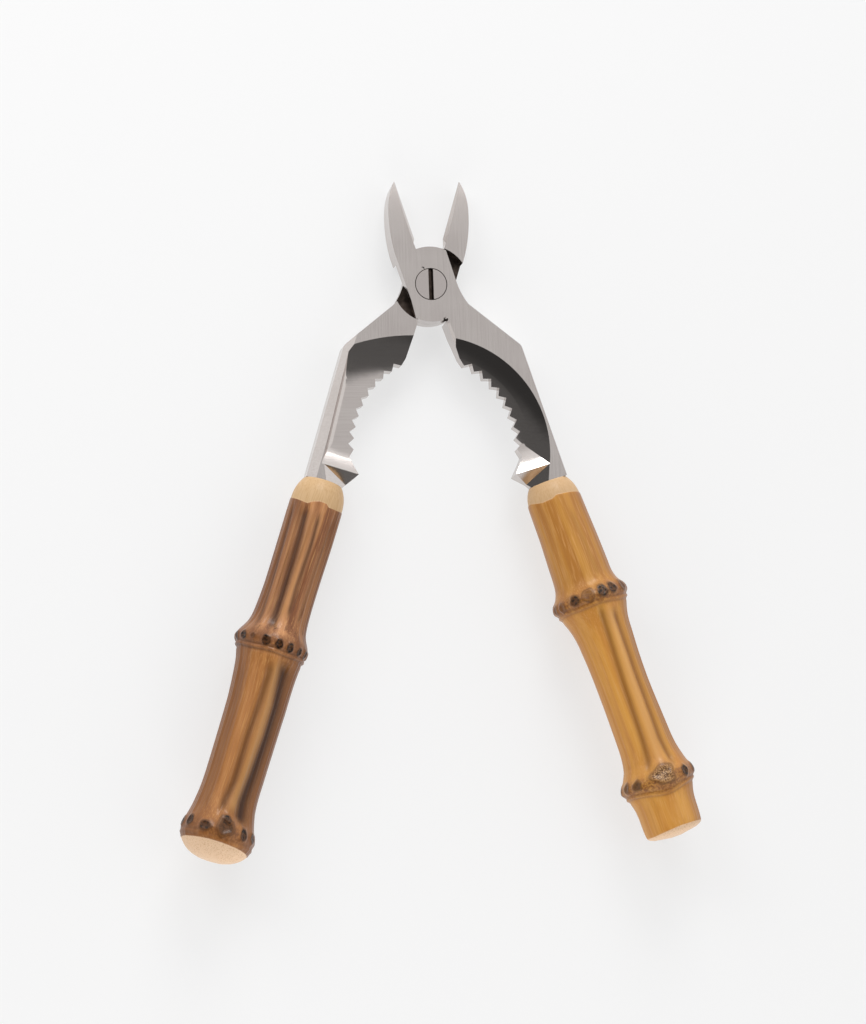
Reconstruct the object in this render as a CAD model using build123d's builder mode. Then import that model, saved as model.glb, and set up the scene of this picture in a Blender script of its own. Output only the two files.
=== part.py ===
import os
from math import atan2, cos, degrees, radians, sin

from build123d import *

os.makedirs("parts", exist_ok=True)

# Lobster cracker, in millimetres. The origin is on the pivot axis, at the flat back of the
# rear lever. +Y points at the blades and +Z runs up the pivot axis to the screw head.
# The levers stand open as they lie: each one leans by the blade angle from the closed pose.

# ---- levers ----
lever_thickness = 8.0
hub_radius = 11.6
shoulder_gap = 0.3  # running room round each hub, inside the other lever's shoulder
lap_gap = 0.06  # between the two lap faces
blade_angle = 17.2  # from +Y to the cutting edge of one open blade
blade_reach = 33.7  # pivot to blade tip
root_rise = 3.3  # the cutting edge starts this far above the round of the hub
edge_height = 6.2  # both cutting edges lie this high, so that they meet
front_bevel = 1.0  # width of the short bevel over the edge
back_bevel = 2.2  # width of the long bevel under it
tip_thickness = 5.2
root_notch = (1.2, 94.2)  # nick under the edge: how much nearer the pivot, and its angle when closed
relief_radius = 0.7  # small filed notch where the inner edge leaves the hub

hub_top_angles = (111.7, 65.0)  # the hub is round between these, above and below the pivot
hub_foot_angles = (-69.0, -115.6)
hub_side = (-6.2, -5.2)  # from here the hub's left side runs straight up to the flank's foot
flank_foot = (-10.8, 9.2)
flank_middle = (-12.2, 17.5)
flank_top = (-12.3, 24.0)
waist_top = (7.9, 0.5)  # the hub's right side curves out into the arm
waist_middle = (9.05, -2.45)
waist_foot = (11.3, -6.1)

# ---- jaw ----
jaw_centre = (-4.2, -50.4)
jaw_radius = 29.2  # through the tips of the teeth
jaw_start_angle = 62.0  # upper end of the toothed arc
inner_corner = (8.2, -22.5)  # foot of the straight edge that comes down from the hub
inner_chamfer = 0.8
inner_chamfer_angle = 45.0
tooth_count = 9
tooth_pitch = 6.86  # degrees
tooth_depth = 1.6
tooth_land = 0.25  # flat left on each tip
scoop_depth = 2.2  # hollow ground into each face behind the teeth
scoop_centre = (-0.25, -50.9)
scoop_radius = 35.0
scoop_run = 12.5  # from the rim of the front hollow to its floor
back_centre = (6.2, -75.8)  # a larger wheel hollows the back face
back_radius = 60.0
back_run = 13.0
back_rim_corner = (25.5, -19.0)  # a steep step runs from here to the foot, beside the chamfer
back_rim_foot = (36.3, -59.4)
step_run = 2.4

# ---- arm and neck ----
arm_corner = (27.1, -18.7)
arm_corner_radius = 2.5
neck_width = 11.2
neck_centre = (34.3, -60.3)  # middle of the seat where the handle butts on the neck
neck_angle = 18.2  # the handle's lean from -Y
spur_tip = (24.0, -58.3)
spur_side = (25.2, -55.6)
spur_valley = (26.4, -52.6)
ridge_end = (34.4, -55.1)  # the crest between hollow and neck runs here from the spur
crest_run = 13.0  # from the floor of the front hollow up to the crest
back_crest_run = 8.5  # the same on the back face
crest_fall = 38.0  # slope of the crest's lower side
neck_flat = 6.0  # width of the neck's flat strip, beside its outer edge
neck_bevel = 25.0
chamfer_width = 2.8
chamfer_depth = 1.4

# ---- pivot screw ----
head_radius = 4.9
head_height = 2.0
shank_radius = 3.0
thread_radius = 2.5
running_gap = 0.05  # round the head and the shank
slot_width = 1.1
slot_depth = 1.2
stake_radius = 0.5  # punch mark beside the head, which keeps the screw from turning
stake_angle = 116.0
stake_depth = 0.6

# ---- tangs and handles ----
tang_radius = 2.5
tang_length = 45.0
tang_root = 3.0  # length of the tang that starts inside the neck
resin_wall = 1.0  # the handle is bored this much wider than the tang
bore_spare = 2.0  # and this much deeper
top_radius = 5.8
butt_shoulder = 0.72  # the butt narrows to this share of its radius, two thirds of the way to its end

# Each handle is one length of bamboo root, turned by nature: (distance from its top, radius).
left_skin = [
    (2.2, 7.2), (4.5, 7.85), (9.0, 8.0), (17.0, 7.95), (30.0, 7.8), (42.0, 8.1), (47.5, 9.3),
    (51.0, 11.0), (54.5, 10.2), (61.0, 9.1), (69.0, 8.75), (78.0, 8.6), (92.0, 8.5), (101.0, 8.9),
    (106.0, 10.0), (110.0, 11.0), (114.5, 9.8),
]
left_butt = 118.0
right_skin = [
    (2.0, 7.2), (4.5, 7.95), (9.0, 8.2), (17.0, 8.4), (28.0, 8.8), (34.0, 9.8), (37.5, 11.5),
    (40.5, 10.6), (46.0, 8.8), (51.0, 8.3), (56.0, 8.0), (68.0, 7.8), (80.0, 8.1), (90.0, 9.2),
    (93.5, 10.6), (96.0, 11.4), (98.5, 10.4), (101.5, 9.3), (106.0, 8.9), (111.5, 8.5),
]
right_butt = 113.0

# ---- sizes that follow ----
mid_height = lever_thickness / 2
blade_root = hub_radius + root_rise
lap_radius = hub_radius + shoulder_gap
front_lap = mid_height + lap_gap / 2
rear_lap = mid_height - lap_gap / 2
counterbore_floor = lever_thickness - head_height
bore_radius = tang_radius + resin_wall
bore_depth = tang_length + bore_spare
overshoot = 1.0  # cutters run this far past the metal
far_off = 100.0  # beyond the whole lever
up, down = 1, -1  # the way a face looks


def polar(radius, angle, centre=(0, 0)):
    return (centre[0] + radius * cos(radians(angle)), centre[1] + radius * sin(radians(angle)))


# The neck's lean gives the line down the handle and the line across it.
down_neck = (sin(radians(neck_angle)), -cos(radians(neck_angle)))
across_neck = (cos(radians(neck_angle)), sin(radians(neck_angle)))
neck_outer = (
    neck_centre[0] + across_neck[0] * neck_width / 2,
    neck_centre[1] + across_neck[1] * neck_width / 2,
)
neck_inner = (
    neck_centre[0] - across_neck[0] * neck_width / 2,
    neck_centre[1] - across_neck[1] * neck_width / 2,
)
blade_tip = polar(blade_reach, 90 + blade_angle)
edge_root = polar(blade_root, 90 + blade_angle)
notch_floor = polar(blade_root - root_notch[0], root_notch[1] + blade_angle)
hub_top_left, hub_top_right = (polar(hub_radius, angle) for angle in hub_top_angles)
hub_foot_right, hub_foot_left = (polar(hub_radius, angle) for angle in hub_foot_angles)
jaw_top = polar(jaw_radius, jaw_start_angle, jaw_centre)
jaw_middle = polar(jaw_radius, jaw_start_angle / 2, jaw_centre)
last_tooth = polar(jaw_radius, 0.0, jaw_centre)


def slope(start, end, height, angle, facing):
    # A plane through a line at some height. It falls to the line's left, or rises if facing down.
    along = (Vector(*end) - Vector(*start)).normalized()
    left = along.rotate(Axis.Z, 90)
    normal = left * sin(radians(angle)) + Vector(0, 0, facing) * cos(radians(angle))
    return Plane(origin=(start[0], start[1], height), x_dir=along, z_dir=normal)


def cutter(corner, opposite, bottom, top, slopes):
    # A block between two heights, kept on the open side of each sloping plane.
    with BuildPart() as block:
        with BuildSketch(Plane.XY.offset(bottom)):
            Polygon(corner, (opposite[0], corner[1]), opposite, (corner[0], opposite[1]), align=None)
        extrude(amount=top - bottom)
        for plane in slopes:
            split(bisect_by=plane, keep=Keep.TOP)
    return block.part


seat_plane = Plane(
    origin=(*neck_centre, mid_height), x_dir=(*across_neck, 0), z_dir=(*down_neck, 0)
)

# ==== cutters that shape the forging's faces ====
above = lever_thickness + overshoot
below = -overshoot
jaw_zone = ((0, -far_off), (far_off, -hub_radius + overshoot))
blade_zone = ((-far_off, lap_radius + shoulder_gap), (0, far_off))
neck_flat_foot = (
    neck_outer[0] - across_neck[0] * neck_flat,
    neck_outer[1] - across_neck[1] * neck_flat,
)

# Each face is hollowed behind the teeth by a round wheel. One bank climbs from its floor to
# the crest, and on the back face a short steep bank stands along the chamfer.
def middle_of_bank(run):
    # Run and rise to the middle of an arc that leaves the floor level and climbs to the face.
    half_turn = atan2(scoop_depth, run)
    arc_radius = run / sin(2 * half_turn)
    return arc_radius * sin(half_turn), arc_radius * (1 - cos(half_turn))


def wheel_track(centre, radius, run, height, facing):
    floor = height - facing * scoop_depth
    clear = height + facing * overshoot
    middle_run, middle_rise = middle_of_bank(run)
    floor_end = radius - run
    with BuildPart() as track:
        with BuildSketch(Plane(origin=(*centre, 0), x_dir=(-1, 0, 0), z_dir=(0, 1, 0))):
            with BuildLine():
                Line((0, floor), (floor_end, floor))
                middle = (floor_end + middle_run, floor + facing * middle_rise)
                ThreePointArc((floor_end, floor), middle, (radius, height))
                Polyline((radius, height), (radius, clear), (0, clear), (0, floor))
            make_face()
        revolve(axis=Axis((*centre, 0), (0, 0, 1)))
    return track.part


def bank(start, end, run, height, facing):
    # The open space to the left of a line, over a concave bank that falls to the floor.
    floor = height - facing * scoop_depth
    clear = height + facing * overshoot
    middle_run, middle_rise = middle_of_bank(run)
    along = (Vector(*end) - Vector(*start)).normalized()
    across = Plane(origin=(*start, 0), x_dir=along.rotate(Axis.Z, 90), z_dir=along)
    with BuildPart() as space:
        with BuildSketch(across):
            with BuildLine():
                middle = (run - middle_run, floor + facing * middle_rise)
                ThreePointArc((0, height), middle, (run, floor))
                Polyline((run, floor), (far_off, floor), (far_off, clear), (0, clear), (0, height))
            make_face()
        extrude(amount=far_off, both=True)
    return space.part


with BuildPart() as front_hollow:
    add(wheel_track(scoop_centre, scoop_radius, scoop_run, lever_thickness, up))
    add(bank(spur_tip, ridge_end, crest_run, lever_thickness, up), mode=Mode.INTERSECT)
with BuildPart() as back_hollow:
    add(wheel_track(back_centre, back_radius, back_run, 0, down))
    add(bank(spur_tip, ridge_end, back_crest_run, 0, down), mode=Mode.INTERSECT)
    add(bank(back_rim_foot, back_rim_corner, step_run, 0, down), mode=Mode.INTERSECT)
face_cutters = [front_hollow.part, back_hollow.part]

# Below the crest the neck falls away to its inner edge, the same on both faces.
for height, facing, far in ((lever_thickness, up, above), (0, down, below)):
    neck_slopes = [
        slope(neck_flat_foot, ridge_end, height, neck_bevel, facing),
        slope(ridge_end, spur_tip, height, crest_fall, facing),
    ]
    face_cutters.append(cutter(*jaw_zone, min(mid_height, far), max(mid_height, far), neck_slopes))

# The blade thins towards its tip in a long curve, the same on both faces.
taper_start = hub_radius + overshoot
taper_end = blade_tip[1] + overshoot
for height, facing, far in ((lever_thickness, up, above), (0, down, below)):
    thinned = height - facing * (lever_thickness - tip_thickness) / 2
    with BuildPart() as thinning:
        with BuildSketch(Plane.YZ):
            with BuildLine():
                Polyline((taper_end, thinned), (taper_end, far), (taper_start, far))
                Line((taper_start, far), (taper_start, height))
                TangentArc((taper_start, height), (taper_end, thinned), tangent=(1, 0))
            make_face()
        extrude(amount=-2 * hub_radius)
    face_cutters.append(thinning.part)

# The cutting edge is ground last, from both faces, on the left blade and mirrored on the right.
front_grind = degrees(atan2(lever_thickness - edge_height, front_bevel))
back_grind = degrees(atan2(edge_height, back_bevel))
front_stone = slope(blade_tip, edge_root, edge_height, front_grind, up)
back_stone = slope(blade_tip, edge_root, edge_height, back_grind, down)
left_grinding = [
    cutter(*blade_zone, edge_height, above, [front_stone]),
    cutter(*blade_zone, below, edge_height, [back_stone]),
]
right_grinding = [mirror(block, about=Plane.YZ) for block in left_grinding]

# The straight inner edge is eased on the front face, from the hub down to the hollow.
inner_edge = Vector(*inner_corner) - Vector(*hub_foot_right)
eased = inner_edge.normalized().rotate(Axis.Z, 90) * inner_chamfer
eased_top = Vector(*hub_foot_right) + eased
eased_foot = Vector(*inner_corner) + eased
easing_line = ((eased_foot.X, eased_foot.Y), (eased_top.X, eased_top.Y))
easing = slope(*easing_line, lever_thickness, inner_chamfer_angle, up)
easing_zone = ((0, inner_corner[1]), (waist_foot[0], -lap_radius))
face_cutters.append(cutter(*easing_zone, mid_height, above, [easing]))

# A wide chamfer runs down the back face's outer edge.
outer_edge = Vector(*neck_outer) - Vector(*arm_corner)
inboard = outer_edge.normalized().rotate(Axis.Z, -90) * chamfer_width
chamfer_line = (Vector(*arm_corner) + inboard, Vector(*neck_outer) + inboard)
chamfer_angle = degrees(atan2(chamfer_depth, chamfer_width))
chamfer_start, chamfer_end = ((point.X, point.Y) for point in chamfer_line)
chamfer_slope = slope(chamfer_start, chamfer_end, 0, chamfer_angle, down)
face_cutters.append(cutter(*jaw_zone, below, mid_height, [chamfer_slope]))

# ==== the lever forging, lying as the front lever does ====
with BuildPart() as forging:
    with BuildSketch(Plane.XY) as outline:
        with BuildLine():
            Polyline(blade_tip, edge_root, notch_floor, hub_top_left)
            ThreePointArc(hub_top_left, (0, hub_radius), hub_top_right)
            Line(hub_top_right, waist_top)
            ThreePointArc(waist_top, waist_middle, waist_foot)
            Polyline(waist_foot, arm_corner, neck_outer, neck_inner, spur_tip)
            Polyline(spur_tip, spur_side, spur_valley, last_tooth)
            ThreePointArc(last_tooth, jaw_middle, jaw_top)
            Polyline(jaw_top, inner_corner, hub_foot_right)
            ThreePointArc(hub_foot_right, (0, -hub_radius), hub_foot_left)
            Polyline(hub_foot_left, hub_side, flank_foot)
            flank = ThreePointArc(flank_foot, flank_middle, flank_top)
            TangentArc(flank @ 1, blade_tip, tangent=flank % 1)
        make_face()
        with Locations(jaw_centre):
            with PolarLocations(
                jaw_radius, tooth_count, start_angle=tooth_pitch / 2,
                angular_range=tooth_pitch * (tooth_count - 1), endpoint=True,
            ):
                gullet = radians(tooth_pitch) * jaw_radius / 2 - tooth_land / 2
                notch = [(-overshoot, gullet), (-overshoot, -gullet), (0, -gullet), (tooth_depth, 0)]
                Polygon(*notch, (0, gullet), align=None, mode=Mode.SUBTRACT)
        with Locations(hub_foot_right):
            Circle(relief_radius, mode=Mode.SUBTRACT)
        corner_point = outline.vertices().sort_by_distance((*arm_corner, 0))[0]
        fillet(corner_point, arm_corner_radius)
    extrude(amount=lever_thickness)
    for face_cutter in face_cutters:
        add(face_cutter, mode=Mode.SUBTRACT)
    # Half the thickness is cut away round the pivot, where the other lever's hub lies.
    with BuildSketch(Plane.XY.offset(below)):
        Circle(lap_radius)
    extrude(amount=front_lap - below, mode=Mode.SUBTRACT)
    # The tang starts inside the neck and runs down the handle's axis.
    with BuildSketch(seat_plane.offset(-tang_root)):
        Circle(tang_radius)
    extrude(amount=tang_root + tang_length)

turned_forging = forging.part.rotate(Axis((0, 0, mid_height), (0, 1, 0)), 180)

# ==== front_lever ====
with BuildPart() as front_lever:
    add(forging.part)
    add(left_grinding, mode=Mode.SUBTRACT)
    with BuildSketch(Plane.XY.offset(below)):
        Circle(shank_radius + running_gap)
    extrude(amount=above - below, mode=Mode.SUBTRACT)
    with BuildSketch(Plane.XY.offset(counterbore_floor)):
        Circle(head_radius + running_gap)
    extrude(amount=head_height + overshoot, mode=Mode.SUBTRACT)
    with BuildSketch(Plane.XY.offset(lever_thickness - stake_depth)):
        with Locations(polar(head_radius + stake_radius, stake_angle)):
            Circle(stake_radius)
    extrude(amount=stake_depth + overshoot, mode=Mode.SUBTRACT)
front_lever.part.label = "front_lever"

# ==== rear_lever ====
with BuildPart() as rear_lever:
    add(turned_forging)
    add(right_grinding, mode=Mode.SUBTRACT)
    with BuildSketch(Plane.XY.offset(below)):
        Circle(thread_radius)
    extrude(amount=above - below, mode=Mode.SUBTRACT)
rear_lever.part.label = "rear_lever"

# ==== pivot_screw ====
head_seat = counterbore_floor + running_gap
with BuildPart() as pivot_screw:
    with BuildSketch(Plane.XY):
        Circle(thread_radius)
    extrude(amount=rear_lap)
    with BuildSketch(Plane.XY.offset(rear_lap)):
        Circle(shank_radius)
    extrude(amount=head_seat - rear_lap)
    with BuildSketch(Plane.XY.offset(head_seat)):
        Circle(head_radius)
    extrude(amount=lever_thickness - head_seat)
    with BuildSketch(Plane.XY.offset(lever_thickness - slot_depth)):
        Rectangle(slot_width, 2 * (head_radius + overshoot))
    extrude(amount=slot_depth + overshoot, mode=Mode.SUBTRACT)
pivot_screw.part.label = "pivot_screw"


def handle(skin, butt, side):
    # A turned solid round the tang's axis, bored from the top. Side is 1 on the right.
    across = (side * across_neck[0], across_neck[1], 0)
    along = (side * down_neck[0], down_neck[1], 0)
    seat = (side * neck_centre[0], neck_centre[1], mid_height)
    with BuildPart() as grip:
        with BuildSketch(Plane(origin=seat, x_dir=across, z_dir=(0, 0, -side))):
            with BuildLine():
                outer = Spline((top_radius, 0), *[(radius, distance) for distance, radius in skin])
                end_distance, end_radius = skin[-1]
                shoulder = (butt_shoulder * end_radius, (end_distance + 2 * butt) / 3)
                Spline(outer @ 1, shoulder, (0, butt))
                Polyline((0, butt), (0, 0), (top_radius, 0))
            make_face()
        revolve(axis=Axis(seat, along))
        with BuildSketch(Plane(origin=seat, x_dir=across, z_dir=along)):
            Circle(bore_radius)
        extrude(amount=bore_depth, mode=Mode.SUBTRACT)
    return grip.part


def resin(side):
    # The glue is a sleeve round the tang, closed below its end.
    across = (side * across_neck[0], across_neck[1], 0)
    along = Vector(side * down_neck[0], down_neck[1], 0)
    seat = Vector(side * neck_centre[0], neck_centre[1], mid_height)
    with BuildPart() as fill:
        with BuildSketch(Plane(origin=seat, x_dir=across, z_dir=along)):
            Circle(bore_radius)
        extrude(amount=bore_depth)
        with BuildSketch(Plane(origin=seat, x_dir=across, z_dir=along)):
            Circle(tang_radius)
        extrude(amount=tang_length, mode=Mode.SUBTRACT)
    return fill.part


left_handle = handle(left_skin, left_butt, -1)
left_handle.label = "left_handle"
right_handle = handle(right_skin, right_butt, 1)
right_handle.label = "right_handle"
left_tang_resin = resin(-1)
left_tang_resin.label = "left_tang_resin"
right_tang_resin = resin(1)
right_tang_resin.label = "right_tang_resin"

export_step(front_lever.part, "parts/front_lever.step")
export_step(rear_lever.part, "parts/rear_lever.step")
export_step(pivot_screw.part, "parts/pivot_screw.step")
export_step(left_handle, "parts/left_handle.step")
export_step(right_handle, "parts/right_handle.step")
export_step(left_tang_resin, "parts/left_tang_resin.step")
export_step(right_tang_resin, "parts/right_tang_resin.step")
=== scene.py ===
import math

import bmesh
import bpy
import numpy as np
from mathutils import Matrix, Vector


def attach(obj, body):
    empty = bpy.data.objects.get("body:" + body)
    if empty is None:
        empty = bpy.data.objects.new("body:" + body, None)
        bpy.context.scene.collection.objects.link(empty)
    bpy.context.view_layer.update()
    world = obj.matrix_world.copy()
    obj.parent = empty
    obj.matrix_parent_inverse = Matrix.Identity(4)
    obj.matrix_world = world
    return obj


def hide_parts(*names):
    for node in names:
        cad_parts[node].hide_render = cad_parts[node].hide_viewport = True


# Lobster cracker: two polished steel levers on a slotted screw, with bamboo root handles.
# Lengths in the dictionaries are in millimetres and angles in degrees; meshes are in metres.
mm = 0.001

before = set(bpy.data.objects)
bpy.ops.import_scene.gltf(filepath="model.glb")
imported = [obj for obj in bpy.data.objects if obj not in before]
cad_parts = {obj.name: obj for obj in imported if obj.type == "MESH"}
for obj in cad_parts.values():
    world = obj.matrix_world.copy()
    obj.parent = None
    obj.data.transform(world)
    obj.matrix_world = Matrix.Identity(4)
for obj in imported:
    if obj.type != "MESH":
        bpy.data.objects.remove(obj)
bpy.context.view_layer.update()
print("frame loaded:", sorted(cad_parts))


def linearColour(hexColour):
    # sRGB hex to linear light, with a full alpha.
    parts = np.array([int(hexColour[i : i + 2], 16) for i in (1, 3, 5)]) / 255
    light = np.where(parts <= 0.04045, parts / 12.92, ((parts + 0.055) / 1.055) ** 2.4)
    return (*light.tolist(), 1.0)


def addNode(tree, kind, settings=None, inputs=None):
    # Adds one node. Settings are its properties; inputs are constants or sockets to link from.
    node = tree.nodes.new(kind)
    for name, value in (settings or {}).items():
        setattr(node, name, value)
    for name, value in (inputs or {}).items():
        if isinstance(value, bpy.types.NodeSocket):
            tree.links.new(value, node.inputs[name])
        else:
            node.inputs[name].default_value = value
    return node


# Kinds and settings of the nodes that are used most, with what their numbered inputs are.
colourBlend = ("ShaderNodeMix", {"data_type": "RGBA"})  # 0 share, 6 first, 7 second; output 2
stretch = ("ShaderNodeMapRange", {"interpolation_type": "SMOOTHSTEP"})  # 0 value, 1-2 from, 3-4 to
product = ("ShaderNodeMath", {"operation": "MULTIPLY"})  # 0 first, 1 second
total = ("ShaderNodeMath", {"operation": "ADD"})
larger = ("ShaderNodeMath", {"operation": "MAXIMUM"})


def startMaterial(name, shader):
    # A fresh material with one principled shader whose constants are set on its own sockets.
    material = bpy.data.materials.new(name)
    material.use_nodes = True
    tree = material.node_tree
    tree.nodes.clear()
    surface = addNode(tree, "ShaderNodeBsdfPrincipled", inputs=shader)
    addNode(tree, "ShaderNodeOutputMaterial", inputs={"Surface": surface.outputs[0]})
    return material, tree, surface


def ease(start, end, x):
    # 0 before start and 1 after end, with a smooth step between: t squared times 3 minus 2 t.
    t = np.clip((x - start) / (end - start), 0, 1)
    return t * t * (3 - 2 * t)


def nodePoints(name):
    # A CAD node's vertices in millimetres.
    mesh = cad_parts[name].data
    flat = np.zeros(len(mesh.vertices) * 3, np.float32)
    mesh.vertices.foreach_get("co", flat)
    return flat.reshape(-1, 3).astype(float) / mm


# Forged martensitic stainless steel, ground and then buffed to a mirror with the finest lines of
# the belt left in it. It gives the eye a cool pinkish grey that turns almost black or white
# wherever a curved face catches a dark or a bright part of the room.
steelLook = {
    "tint": "#D0C9C5",
    "tintBetweenLines": "#C8C0BC",
    "flatRoughness": 0.20,
    "hollowRoughness": 0.10,
    "lineSpacing": 0.35,  # belt lines, drawn coarser than the real 0.02 so that they show
    "lineLength": 60,  # in spacings
    "lineDepth": 0.0007,
    "lineStrength": 0.35,
    "lineRoughness": 0.05,
    "lineShare": 0.6,
    "stainSize": 9,
    "stainShare": 0.4,
    "contrast": (0.3, 0.7),
}


def steelMaterial(name, tint, roughness, lineAcross):
    # Lines: noise squeezed across them and stretched along them. Stains: broad, even noise. The
    # weighted sum of both moves the roughness and the tint, and the lines alone are raised.
    material, tree, surface = startMaterial(name, {"Metallic": 1.0})
    place = addNode(tree, "ShaderNodeTexCoord").outputs["Object"]
    squeeze = [1 / (steelLook["lineSpacing"] * mm)] * 3
    squeeze[1 if lineAcross == "x" else 0] = squeeze[0] / steelLook["lineLength"]
    turned = addNode(tree, "ShaderNodeMapping", inputs={"Vector": place, "Scale": squeeze})
    noise = {"Vector": turned.outputs[0], "Scale": 1.0, "Detail": 3.0, "Roughness": 0.6}
    lines = addNode(tree, "ShaderNodeTexNoise", inputs=noise).outputs[0]
    noise = {"Vector": place, "Scale": 1 / (steelLook["stainSize"] * mm), "Detail": 2.0}
    stains = addNode(tree, "ShaderNodeTexNoise", inputs=noise).outputs[0]
    linePart = addNode(tree, *product, {0: lines, 1: steelLook["lineShare"]}).outputs[0]
    stainPart = addNode(tree, *product, {0: stains, 1: steelLook["stainShare"]}).outputs[0]
    both = addNode(tree, *total, {0: linePart, 1: stainPart}).outputs[0]
    low, high = steelLook["contrast"]
    spread = steelLook["lineRoughness"]
    ends = {3: roughness - spread / 2, 4: roughness + spread / 2}
    rough = addNode(tree, *stretch, {0: both, 1: low, 2: high, **ends})
    tree.links.new(rough.outputs[0], surface.inputs["Roughness"])
    between = addNode(tree, *stretch, {0: both, 1: low, 2: high}).outputs[0]
    tints = {6: linearColour(tint), 7: linearColour(steelLook["tintBetweenLines"])}
    shade = addNode(tree, *colourBlend, {0: between, **tints})
    tree.links.new(shade.outputs[2], surface.inputs["Base Color"])
    raised = {"Height": lines, "Distance": steelLook["lineDepth"] * mm, "Strength": steelLook["lineStrength"]}
    bump = addNode(tree, "ShaderNodeBump", inputs=raised)
    tree.links.new(bump.outputs[0], surface.inputs["Normal"])
    return material


flatSteel = steelMaterial("groundStainlessFlat", steelLook["tint"], steelLook["flatRoughness"], "x")
hollowSteel = steelMaterial("buffedStainlessHollow", steelLook["tint"], steelLook["hollowRoughness"], "y")

# The lap faces are milled and left unpolished, so they are dull; their dark browns are painted shade for the
# recess between the levers.
lapLook = {
    "roughness": 0.42,
    "stainSize": 2.5,
    "deepShade": "#3A322D",
    "paleShade": "#5E534C",
    "contrast": (0.35, 0.7),
}


def recessShadeMaterial():
    # Painted shade: two dark browns blended by broad noise.
    shader = {"Metallic": 1.0, "Roughness": lapLook["roughness"]}
    material, tree, surface = startMaterial("milledSteelPaintedShade", shader)
    place = addNode(tree, "ShaderNodeTexCoord").outputs["Object"]
    noise = {"Vector": place, "Scale": 1 / (lapLook["stainSize"] * mm), "Detail": 3.0}
    mottle = addNode(tree, "ShaderNodeTexNoise", inputs=noise).outputs[0]
    low, high = lapLook["contrast"]
    share = addNode(tree, *stretch, {0: mottle, 1: low, 2: high}).outputs[0]
    browns = {6: linearColour(lapLook["deepShade"]), 7: linearColour(lapLook["paleShade"])}
    shade = addNode(tree, *colourBlend, {0: share, **browns})
    tree.links.new(shade.outputs[2], surface.inputs["Base Color"])
    return material


recessShadeSteel = recessShadeMaterial()
print("steel materials made")

leverLook = {
    "mergeWithin": 0.0005,
    "softEdge": 0.16,  # buffing rounds every edge a little
    "softEdgeAngle": 24,
    "softEdgeRings": 2,
    "flatWeight": 100,  # how firmly large faces keep their own shading
    "flatWithin": 0.1,  # faces that turn less than this are joined into one flat face
    "crease": 9,  # a sharper turn than this shows as a line
    "faceHeight": 8.0,
    "lapHeight": 4.0,
    "lapWithin": 0.1,
    "lapReach": 12.2,
    "lapUpright": 0.99,
    "hollowBelow": -12.0,  # the hollows lie below this, towards the handles
    "hollowSteepest": 0.8,  # the least upright that a hollow's wall is
    "hollowDeeper": 0.02,  # how far from both faces a hollow's wall starts
}


def mergedCopy(node, name, reach, crease):
    # The CAD mesh copied: vertices closer than a set distance become one, neighbours that turn less
    # than the reach become one face, and edges that turn more than the crease are shaded sharp.
    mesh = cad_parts[node].data.copy()
    mesh.name = name
    mesh.materials.clear()
    imported = mesh.attributes.get("custom_normal")
    if imported:
        mesh.attributes.remove(imported)  # the loose triangles' own normals don't suit joined faces
    piece = bpy.data.objects.new(name, mesh)
    bpy.context.scene.collection.objects.link(piece)
    build = bmesh.new()
    build.from_mesh(mesh)
    bmesh.ops.remove_doubles(build, verts=build.verts, dist=leverLook["mergeWithin"] * mm)
    bmesh.ops.dissolve_limit(
        build,
        angle_limit=math.radians(reach),
        verts=build.verts,
        edges=build.edges,
        use_dissolve_boundaries=False,
    )
    build.to_mesh(mesh)
    build.free()
    mesh.update()
    mesh.polygons.foreach_set("use_smooth", np.ones(len(mesh.polygons), bool))
    mesh.set_sharp_from_angle(angle=math.radians(crease))
    return piece


def softenEdges(piece, width, angle, rings):
    # A narrow round on every edge that turns more than the angle, in so many rings, then shading
    # that stays flat on the flats.
    bevel = piece.modifiers.new("softEdges", "BEVEL")
    bevel.width = width * mm
    bevel.segments = rings
    bevel.limit_method = "ANGLE"
    bevel.angle_limit = math.radians(angle)
    bevel.use_clamp_overlap = True
    weighted = piece.modifiers.new("flatFaces", "WEIGHTED_NORMAL")
    weighted.weight = leverLook["flatWeight"]
    weighted.keep_sharp = True


def faceTable(mesh):
    # Centre in millimetres and normal of every face.
    count = len(mesh.polygons)
    centres, normals = np.zeros(count * 3, np.float32), np.zeros(count * 3, np.float32)
    mesh.polygons.foreach_get("center", centres)
    mesh.polygons.foreach_get("normal", normals)
    return centres.reshape(-1, 3) / mm, normals.reshape(-1, 3)


def makeLever(node, body):
    # A lap face is level, at the lap's height and near the pivot. A hollow's wall is fairly level,
    # away from both faces and below the hub. Everything else is ground flat.
    piece = mergedCopy(node, node + "Steel", leverLook["flatWithin"], leverLook["crease"])
    mesh = piece.data
    for material in (flatSteel, hollowSteel, recessShadeSteel):
        mesh.materials.append(material)
    centres, normals = faceTable(mesh)
    height = centres[:, 2]
    upright = np.abs(normals[:, 2])
    outOfFace = np.minimum(np.abs(height), np.abs(height - leverLook["faceHeight"]))
    hollow = (upright > leverLook["hollowSteepest"]) & (outOfFace > leverLook["hollowDeeper"])
    hollow &= centres[:, 1] < leverLook["hollowBelow"]
    lap = upright > leverLook["lapUpright"]
    lap &= np.abs(height - leverLook["lapHeight"]) < leverLook["lapWithin"]
    lap &= np.hypot(centres[:, 0], centres[:, 1]) < leverLook["lapReach"]
    # lap faces take the dark material: painted shade in the recess between the levers
    kinds = np.where(lap, 2, np.where(hollow, 1, 0)).astype(np.int32)
    mesh.polygons.foreach_set("material_index", kinds)
    softenEdges(piece, leverLook["softEdge"], leverLook["softEdgeAngle"], leverLook["softEdgeRings"])
    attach(piece, body)
    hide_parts(node)
    print(piece.name, "faces", len(mesh.polygons), "lap", int(lap.sum()), "hollow", int(hollow.sum()))


makeLever("front_lever", "right_half")
makeLever("rear_lever", "left_half")

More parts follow.
